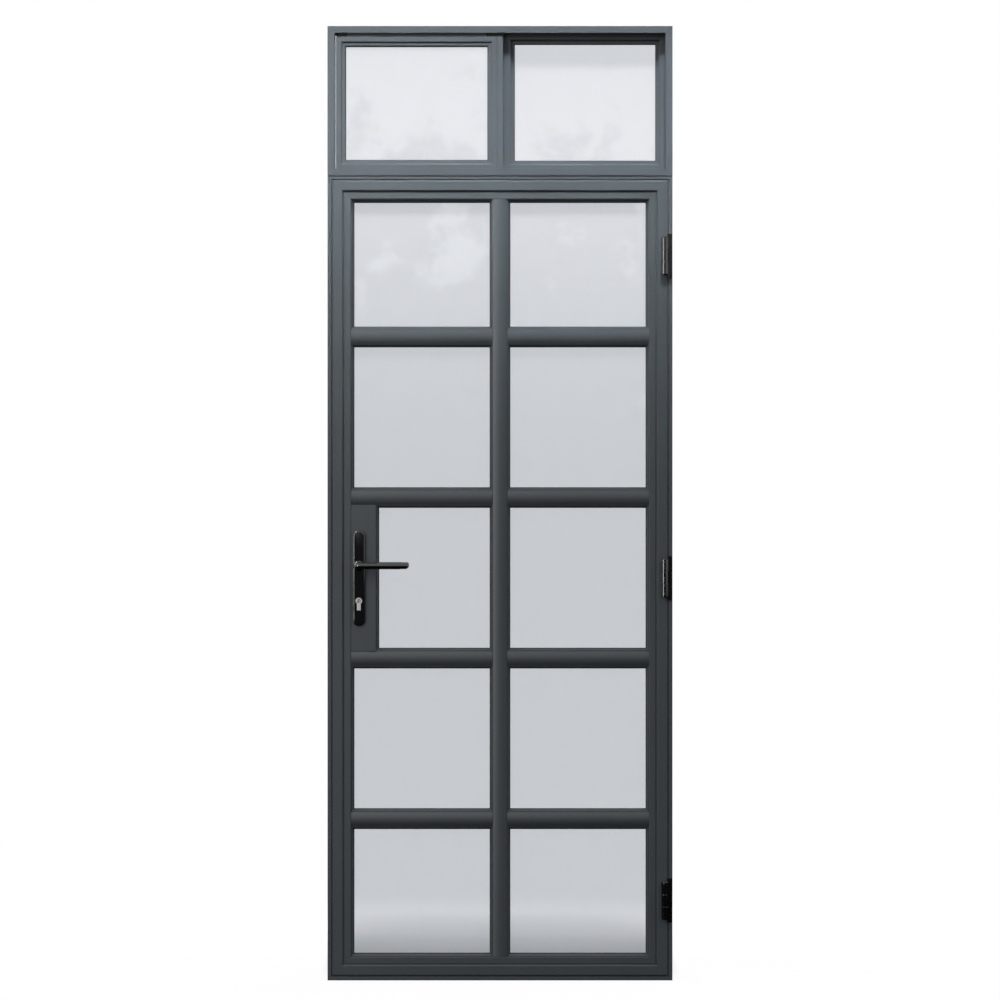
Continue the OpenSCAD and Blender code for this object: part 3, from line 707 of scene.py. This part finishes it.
class DOOR_OT_pile_seals(bpy.types.Operator):
    """Brushes and pads that close the sliding sash's gaps"""
    bl_idname = "door.pile_seals"
    bl_label = "Pile seals"

    def execute(self, context):
        post_low, post_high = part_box("meeting_post")
        sash_low, sash_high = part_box("sash_interlock")
        stile_low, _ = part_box("sash_stile_left")
        bottom, top = sash_low.z + 2 * MM, sash_high.z - 2 * MM
        centre_x = post_high.x - 8 * MM
        half, backing = 3.4 * MM, 0.8 * MM
        new_piece(
            "pile_backing",
            mesh_from(*upright(
                centre_x - half, centre_x + half, post_low.y, post_low.y - backing,
                bottom, top)),
            black_rubber(), "frame")
        tree = pile_tree()
        jamb_x = stile_low.x - 4 * MM
        centre_y = (sash_low.y + sash_high.y) / 2
        gap = post_low.y - sash_high.y
        count = int((top - bottom) / context.scene.door_trim.tuft)
        row = 1.0 * MM
        first = -1.5 * row  # of four rows, centred

        def pile(name, tone, x, y, **sizes):
            """Four rows of tufts, as tall as the sash."""
            tufts = run_nodes(
                tree, name, Start=(x, y, bottom), End=(x, y, top), Count=count, Rows=4,
                Fibre=tone, **sizes)
            smooth(tufts, 60)
            new_piece(name, tufts, tone, "frame")

        pile("meeting_pile", material("pile_fibre", pile_fibre, linear("#26282b")),
             centre_x + first, post_low.y - 0.6 * MM, Row_Step=(row, 0, 0),
             Tuft=gap - backing - 0.3 * MM, Width=0.45 * MM,
             Turn=(math.radians(90), 0, 0), Seed=SEED)
        self.pads()
        pile("jamb_pile", material("pale_pile_fibre", pile_fibre, linear("#63686b")),
             jamb_x, centre_y + first, Row_Step=(0, row, 0), Tuft=3.7 * MM,
             Width=0.7 * MM, Turn=(0, math.radians(90), 0), Seed=SEED + 1)
        return {"FINISHED"}

    @staticmethod
    def pads():
        """Closes the head's channel beside the ends of the sash's fin."""
        _, fin_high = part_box("sash_rail_top")
        end_low, end_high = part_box("sash_interlock")
        left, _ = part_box("sash_stile_left")
        _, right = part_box("sash_stile_right")
        middle, half = (end_low.y + end_high.y) / 2, 1.2 * MM
        reach, slack = 30 * MM, 0.4 * MM
        parts = [
            upright(start, end, middle - half, middle + half, end_high.z - slack,
                    fin_high.z - slack)
            for start, end in (
                (left.x + slack, left.x + reach - slack),
                (right.x - reach + slack, end_high.x - slack))]
        new_piece("sash_end_pads", mesh_from(*joined(parts)), black_rubber(), "sash")


def screw_tree():
    """Nodes that set socket-head screws along a line."""
    tree = bpy.data.node_groups.new("screw_row", "GeometryNodeTree")
    face = tree.interface
    face.new_socket("Geometry", in_out="OUTPUT", socket_type="NodeSocketGeometry")
    for name, kind in (
            ("Start", "NodeSocketVector"), ("End", "NodeSocketVector"),
            ("Count", "NodeSocketInt"), ("Radius", "NodeSocketFloat"),
            ("Height", "NodeSocketFloat"), ("Turn", "NodeSocketRotation"),
            ("Coat", "NodeSocketMaterial")):
        face.new_socket(name, in_out="INPUT", socket_type=kind)
    given = add(tree, "NodeGroupInput")
    result = add(tree, "NodeGroupOutput")
    line = add(tree, "GeometryNodeMeshLine", {
        "Count": given.outputs["Count"], "Start Location": given.outputs["Start"],
        "Offset": given.outputs["End"]}, mode="END_POINTS")
    radius, height = given.outputs["Radius"], given.outputs["Height"]
    head = add(tree, "GeometryNodeMeshCone", {
        "Vertices": 28, "Radius Top": maths(tree, "MULTIPLY", radius, 0.84),
        "Radius Bottom": radius, "Depth": height}, fill_type="NGON")
    socket = add(tree, "GeometryNodeMeshCylinder", {
        "Vertices": 6, "Radius": maths(tree, "MULTIPLY", radius, 0.48), "Depth": height},
        fill_type="NGON")
    up = add(tree, "ShaderNodeCombineXYZ", {"Z": maths(tree, "MULTIPLY", height, 0.35)})
    raised = add(tree, "GeometryNodeTransform", {
        "Geometry": socket.outputs["Mesh"], "Translation": up.outputs["Vector"]})
    cut = add(tree, "GeometryNodeMeshBoolean", {
        0: head.outputs["Mesh"], 1: raised.outputs["Geometry"]}, operation="DIFFERENCE")
    heads = add(tree, "GeometryNodeInstanceOnPoints", {
        "Points": line.outputs["Mesh"], "Instance": cut.outputs["Mesh"],
        "Rotation": given.outputs["Turn"]})
    real = add(tree, "GeometryNodeRealizeInstances", {"Geometry": heads.outputs["Instances"]})
    done = add(tree, "GeometryNodeSetMaterial", {
        "Geometry": real.outputs["Geometry"], "Material": given.outputs["Coat"]})
    tree.links.new(done.outputs["Geometry"], result.inputs["Geometry"])
    return tree


class DOOR_OT_screws(bpy.types.Operator):
    """Socket-head screws in hinge plates, faceplate and strike"""
    bl_idname = "door.screws"
    bl_label = "Screws"

    def execute(self, context):
        tree = screw_tree()
        rows = []
        for name in HINGES:
            low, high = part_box("hinge_frame_" + name)
            x = high.x - 5.5 * MM
            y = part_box("door_jamb_right")[0].y - 8.2 * MM
            rows.append((
                f"hinge_screws_{name}", (x, y, low.z + 7 * MM), (x, y, high.z - 7 * MM),
                (math.radians(90), 0, 0), black_coat(), "black_powder_coat", "frame"))
        sunk = 0.1 * MM
        low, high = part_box("lock_faceplate")
        x, y = low.x - sunk, (low.y + high.y) / 2
        rows.append((
            "faceplate_screws", (x, y, low.z + 8 * MM), (x, y, high.z - 8 * MM),
            (0, math.radians(-90), 0), steel(), "plated_steel", "leaf"))
        # Between the strike's two openings, clear of the bolts
        low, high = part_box("strike_plate")
        x, y = high.x + sunk, (low.y + high.y) / 2
        rows.append((
            "strike_screws", (x, y, low.z + 52 * MM), (x, y, high.z - 50 * MM),
            (0, math.radians(90), 0), steel(), "plated_steel", "frame"))
        for name, start, end, turn, coat, slot, body in rows:
            mesh = run_nodes(
                tree, name, Start=start, End=end, Count=2,
                Radius=context.scene.door_trim.screw, Height=0.9 * MM, Turn=turn, Coat=coat)
            smooth(mesh, 25)
            new_piece(name, mesh, coat, body)
        return {"FINISHED"}


def lever_mesh(axis_x, axis_z, plate_y, grip_y, tip_x, way):
    """A round lever: collar, neck, ball at the turn, grip with a ring before its tip."""
    def along_y(a, b, c):
        return (axis_x + b, a, axis_z + c)

    def along_x(a, b, c):
        return (a, grip_y + b, axis_z + c)

    steps = 48
    collar, neck, grip = 13.5 * MM, 9.5 * MM, 8.5 * MM
    face = plate_y + way * 0.3 * MM
    root = plate_y - way * 5.7 * MM
    foot = [(root, 0.0), (root, neck), (face, neck)]
    foot += [(face + way * up * MM, collar - inward * MM) for up, inward in (
        (0.0, 0.6), (0.6, 0.0), (9.0, 0.0), (10.8, 0.7), (11.8, 2.4))]
    foot += [
        (face + way * 12.0 * MM, neck + 0.6 * MM), (face + way * 13.0 * MM, neck),
        (grip_y, neck)]
    foot += [
        (grip_y + way * neck * math.sin(a), neck * math.cos(a)) for a in quarter(10)[1:-1]]
    foot.append((grip_y + way * neck, 0.0))
    heel = axis_x - 3 * MM
    cap_x, cap, nose = tip_x - 17 * MM, grip - 0.6 * MM, 5 * MM
    bar = [(heel, 0.0), (heel, grip - 2.5 * MM), (axis_x, grip)]
    bar += [(cap_x + along * MM, grip - inward * MM) for along, inward in (
        (-1.6, 0.0), (-1.1, 0.5), (-1.0, 1.6), (0.0, 1.6), (0.1, 1.1), (0.6, 0.6))]
    bar += [
        (tip_x - nose + nose * math.sin(a), cap - nose + nose * math.cos(a))
        for a in quarter(8)]
    bar.append((tip_x, 0.0))
    return mesh_from(*turned(foot, steps, along_y)), mesh_from(*turned(bar, steps, along_x))


def crossed(first, second, name, how="UNION"):
    """One closed mesh from two that cross: both together, or what they share."""
    bodies = [bpy.data.objects.new(f"{name}_{i}", m) for i, m in enumerate((first, second))]
    for body in bodies:
        bpy.context.scene.collection.objects.link(body)
    change = bodies[0].modifiers.new("cross", "BOOLEAN")
    change.operation = how
    change.solver = "EXACT"
    change.object = bodies[1]
    mesh = evaluated(bodies[0])
    for body in bodies:
        bpy.data.objects.remove(body)
    outwards(mesh)
    return mesh


class DOOR_OT_handles(bpy.types.Operator):
    """Builds the levers and rounds the backplates"""
    bl_idname = "door.handles"
    bl_label = "Handles"

    def execute(self, context):
        spindle_low, spindle_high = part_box("spindle")
        axis_x = (spindle_low.x + spindle_high.x) / 2
        axis_z = (spindle_low.z + spindle_high.z) / 2
        for side, way in (("front", -1), ("rear", 1)):
            low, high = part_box("backplate_" + side)
            lever_low, lever_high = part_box("lever_" + side)
            plate_y = low.y if way < 0 else high.y
            edge = lever_low.y if way < 0 else lever_high.y
            mesh = crossed(
                *lever_mesh(
                    axis_x, axis_z, plate_y, edge - way * 9.5 * MM, lever_high.x, way),
                "lever_" + side)
            smooth(mesh, 32)
            new_piece(
                "lever_bar_" + side, mesh, black_coat(), "handle",
                ["lever_" + side])
            mesh = crossed(
                node_copy("backplate_" + side), self.pillow(low, high, way), "plate_" + side,
                "INTERSECT")
            smooth(mesh, 40)
            new_piece(
                "cover_plate_" + side, mesh, black_coat(), "leaf",
                ["backplate_" + side])
        return {"FINISHED"}

    @staticmethod
    def pillow(low, high, way):
        """A plate with round ends whose face rolls over at its rim; it trims the solid one."""
        middle_x, middle_z = (low.x + high.x) / 2, (low.z + high.z) / 2
        radius = (high.x - low.x) / 2
        straight = (high.z - low.z) / 2 - radius
        face, back = (low.y, high.y) if way < 0 else (high.y, low.y)
        roll, out = 3.6 * MM, 0.5 * MM
        sections = [(-out, back - way * MM), (-out, face - way * (roll + MM))]
        sections += [
            (roll * (1 - math.cos(a)) - 0.1 * MM,
             face - way * (roll - roll * math.sin(a) + 0.05 * MM))
            for a in quarter(7)]
        verts, count = [], 32
        for inset, y in sections:
            r = radius - inset
            for k in range(count):
                a = 2 * math.pi * (k + 0.5) / count
                lift = straight if math.sin(a) > 0 else -straight
                verts.append((middle_x + r * math.cos(a), y, middle_z + lift + r * math.sin(a)))
        last = (len(sections) - 1) * count
        ends = [tuple(range(count)), tuple(range(last, last + count))]
        return mesh_from(verts, ends + tube(len(sections), count))


class DOOR_OT_hinges(bpy.types.Operator):
    """Rounds the hinges' knuckles and caps their ends"""
    bl_idname = "door.hinges"
    bl_label = "Hinges"

    def execute(self, context):
        barrel, pin, cap, dome = 8.5 * MM, 3.9 * MM, 7.4 * MM, 2.6 * MM
        for name in HINGES:
            for body, width in (("frame", 4.2 * MM), ("leaf", 0.7 * MM)):
                node = f"hinge_{body}_{name}"
                mesh = node_copy(node)
                if body == "frame":
                    self.weigh(mesh, *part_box(node))
                smooth(mesh, 30)
                piece = new_piece(
                    node + "_part", mesh, black_coat(), body, [node])
                rounded(piece, width, segments=4, by_weight=body == "frame")
            low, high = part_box("hinge_leaf_" + name)
            middle = (low.z + high.z) / 2
            axis_x, axis_y = low.x + barrel, low.y + barrel
            caps = []
            for way in (-1, 1):
                end = middle + way * 48 * MM
                inside = end - way * 2 * MM
                profile = [(inside, 0.0), (inside, pin), (end, pin), (end, cap)]
                profile += [
                    (end + way * dome * math.sin(a), cap * math.cos(a))
                    for a in quarter(8)[1:-1]]
                profile.append((end + way * dome, 0.0))
                caps.append(turned(
                    profile, 32, lambda a, b, c: (axis_x + b, axis_y + c, a)))
            mesh = mesh_from(*joined(caps))
            smooth(mesh, 40)
            new_piece(
                f"hinge_caps_{name}", mesh, black_coat(), "frame")
        return {"FINISHED"}

    @staticmethod
    def weigh(mesh, low, high):
        """Marks the plate's four corners for a wide rounding and other edges for a fine one."""
        work = bmesh.new()
        work.from_mesh(mesh)
        layer = work.edges.layers.float.new("bevel_weight_edge")
        for edge in work.edges:
            if len(edge.link_faces) != 2 or edge.calc_face_angle(0) < SHARP:
                continue
            ends = [v.co for v in edge.verts]
            along = (ends[1] - ends[0]).normalized()
            corner = abs(along.y) > 0.99 and all(
                min(abs(e.z - low.z), abs(e.z - high.z)) < WELD * 10 for e in ends)
            edge[layer] = 1.0 if corner else 0.15
        work.to_mesh(mesh)
        work.free()


class DOOR_OT_lock(bpy.types.Operator):
    """Finishes the lock's metal parts"""
    bl_idname = "door.lock"
    bl_label = "Lock"

    def execute(self, context):
        for node, coat in (
                ("lock_case", steel()), ("lock_faceplate", steel()), ("deadbolt", steel()),
                ("latch_bolt", brass()), ("strike_plate", steel()), ("spindle", steel()),
                ("plate_screws", steel()), ("hinge_pins", steel())):
            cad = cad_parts[node]
            cad.data.materials.clear()
            cad.data.materials.append(coat)
        for node, body, coat, slot, width in (
                ("cylinder_body", "leaf", bright_steel(), "plated_steel", 0.5 * MM),
                ("cylinder_plug", "key_plug", nickel(), "brass", 0.3 * MM)):
            mesh = node_copy(node)
            smooth(mesh, 30)
            piece = new_piece(node + "_part", mesh, coat, body, [node])
            rounded(piece, width, segments=2)
        return {"FINISHED"}


class DOOR_OT_stage(bpy.types.Operator):
    """Camera, floor, light and the white round the door"""
    bl_idname = "door.stage"
    bl_label = "Stage"

    def execute(self, context):
        scene = context.scene
        stage = scene.door_stage
        scene.view_settings.view_transform = "Standard"
        self.camera(scene, stage)
        self.floor(scene)
        self.light(scene, stage)
        self.sky(scene, stage)
        return {"FINISHED"}

    @staticmethod
    def camera(scene, stage):
        data = bpy.data.cameras.new("camera")
        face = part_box("door_jamb_left")[0].y
        data.sensor_width = 36.0
        data.lens = data.sensor_width * stage.distance / stage.width
        data.clip_end = 200.0
        camera = bpy.data.objects.new("camera", data)
        camera.location = (0.0, face - stage.distance, stage.height)
        camera.rotation_euler = (math.radians(90), 0.0, 0.0)
        scene.collection.objects.link(camera)
        scene.camera = camera

    @staticmethod
    def floor(scene):
        steps, rings = 96, (2.0, 4.0, 8.0, 40.0)
        verts = [(0.0, 0.0, 0.0)]
        faces = []
        for radius in rings:
            verts += [
                (radius * math.cos(2 * math.pi * i / steps),
                 radius * math.sin(2 * math.pi * i / steps), 0.0) for i in range(steps)]
        for i in range(steps):
            m = (i + 1) % steps
            faces.append((0, 1 + i, 1 + m))
            for r in range(len(rings) - 1):
                a, b = 1 + r * steps, 1 + (r + 1) * steps
                faces.append((a + i, b + i, b + m, a + m))
        mesh = bpy.data.meshes.new("floor")
        mesh.from_pydata(verts, [], faces)
        floor = bpy.data.objects.new("floor", mesh)
        mesh.materials.append(
            material("studio_floor", studio_floor, near=1.2, far=4.0, glow=0.93))
        scene.collection.objects.link(floor)

    @staticmethod
    def light(scene, stage):
        for name, size, power, colour, spread, place, target in (
                ("soft_box", (2.2, 0.4), stage.key, (1.0, 0.92, 0.86), 12,
                 (0.0, -1.3, 4.6), (0.0, 0.0, 2.2)),
                ("gleam_beside", (0.6, 3.0), stage.gleam, (1, 1, 1), 180,
                 (-2.9, -4.2, 1.1), (0.0, 0.0, 0.9)),
                ("gleam_above", (1.2, 1.2), stage.gleam, (1, 1, 1), 180,
                 (-2.6, -4.5, 4.0), (0.0, 0.0, 1.2))):
            data = bpy.data.lights.new(name, "AREA")
            data.shape = "RECTANGLE"
            data.size, data.size_y = size
            data.energy = power
            data.color = colour
            data.spread = math.radians(spread)
            light = bpy.data.objects.new(name, data)
            light.visible_diffuse = name == "soft_box"
            light.visible_glossy = name != "soft_box"
            light.location = place
            aim = Vector(target) - light.location
            light.rotation_euler = aim.to_track_quat("-Z", "Y").to_euler()
            scene.collection.objects.link(light)

    @staticmethod
    def sky(scene, stage):
        world = bpy.data.worlds.new("white_sky")
        world.use_nodes = True
        tree = world.node_tree
        tree.nodes.clear()
        output = add(tree, "ShaderNodeOutputWorld")
        ray = add(tree, "ShaderNodeLightPath")
        place = add(tree, "ShaderNodeTexCoord")
        way = add(tree, "ShaderNodeSeparateXYZ", {"Vector": place.outputs["Generated"]})
        # Light from the sides and above is stronger than light from straight ahead
        ahead = maths(tree, "ABSOLUTE", way.outputs["Y"])
        beside = ramp(tree, ahead, 0.95, 0.25, 0.0, 1.0)
        above = ramp(tree, way.outputs["Z"], -0.25, 0.0, 0.0, 1.0)
        sides = maths(tree, "MULTIPLY", beside, above)
        falling = ramp(tree, sides, 0.0, 1.0, stage.sky, stage.side)
        # Shiny faces show clouds that thin out towards the horizon, and bright sides
        clouds = add(tree, "ShaderNodeTexNoise", {
            "Vector": place.outputs["Generated"], "Scale": 55.0, "Detail": 6.0,
            "Roughness": 0.6})
        rise = ramp(tree, way.outputs["Z"], 0.03, 0.12, -0.2, 0.14)
        bright = add(tree, "ShaderNodeMapRange", {
            "Value": maths(tree, "ADD", clouds.outputs["Fac"], rise), "From Min": 0.46,
            "From Max": 0.57, "To Min": 0.07, "To Max": 1.2}, interpolation_type="SMOOTHSTEP")
        shining = maths(
            tree, "MAXIMUM", bright.outputs["Result"],
            ramp(tree, sides, 0.0, 1.0, 0.0, stage.rim))
        soft, shone, seen = (
            add(tree, "ShaderNodeBackground", {"Color": (1, 1, 1, 1), "Strength": strength})
            for strength in (falling, shining, 1.0))
        lit = add(tree, "ShaderNodeMixShader", {
            0: ray.outputs["Is Glossy Ray"], 1: soft.outputs["Background"],
            2: shone.outputs["Background"]})
        both = add(tree, "ShaderNodeMixShader", {
            0: ray.outputs["Is Camera Ray"], 1: lit.outputs["Shader"],
            2: seen.outputs["Background"]})
        tree.links.new(both.outputs["Shader"], output.inputs["Surface"])
        world.cycles.sampling_method = "NONE"
        scene.world = world


class DOOR_PT_panel(bpy.types.Panel):
    """Settings and steps, in the sidebar"""
    bl_idname = "DOOR_PT_panel"
    bl_label = "Glass door"
    bl_space_type = "VIEW_3D"
    bl_region_type = "UI"
    bl_category = "Door"

    def draw(self, context):
        for settings in (
                context.scene.door_colours, context.scene.door_trim, context.scene.door_stage):
            box = self.layout.box()
            for name in settings.__annotations__:
                box.prop(settings, name)
        for step in STEPS:
            self.layout.operator(step.bl_idname)


SETTINGS = (DoorColours, DoorTrim, DoorStage)
STEPS = (
    DOOR_OT_bars, DOOR_OT_glass, DOOR_OT_gaskets, DOOR_OT_frame_seal, DOOR_OT_edge_seal,
    DOOR_OT_pile_seals, DOOR_OT_screws, DOOR_OT_handles, DOOR_OT_hinges, DOOR_OT_lock,
    DOOR_OT_stage)


def register():
    for item in SETTINGS + STEPS + (DOOR_PT_panel,):
        bpy.utils.register_class(item)
    bpy.types.Scene.door_colours = bpy.props.PointerProperty(type=DoorColours)
    bpy.types.Scene.door_trim = bpy.props.PointerProperty(type=DoorTrim)
    bpy.types.Scene.door_stage = bpy.props.PointerProperty(type=DoorStage)


def unregister():
    del bpy.types.Scene.door_stage
    del bpy.types.Scene.door_trim
    del bpy.types.Scene.door_colours
    for item in reversed(SETTINGS + STEPS + (DOOR_PT_panel,)):
        bpy.utils.unregister_class(item)


def main():
    register()
    for step in STEPS:
        group, name = step.bl_idname.split(".")
        getattr(getattr(bpy.ops, group), name)()


if __name__ == "__main__":
    main()
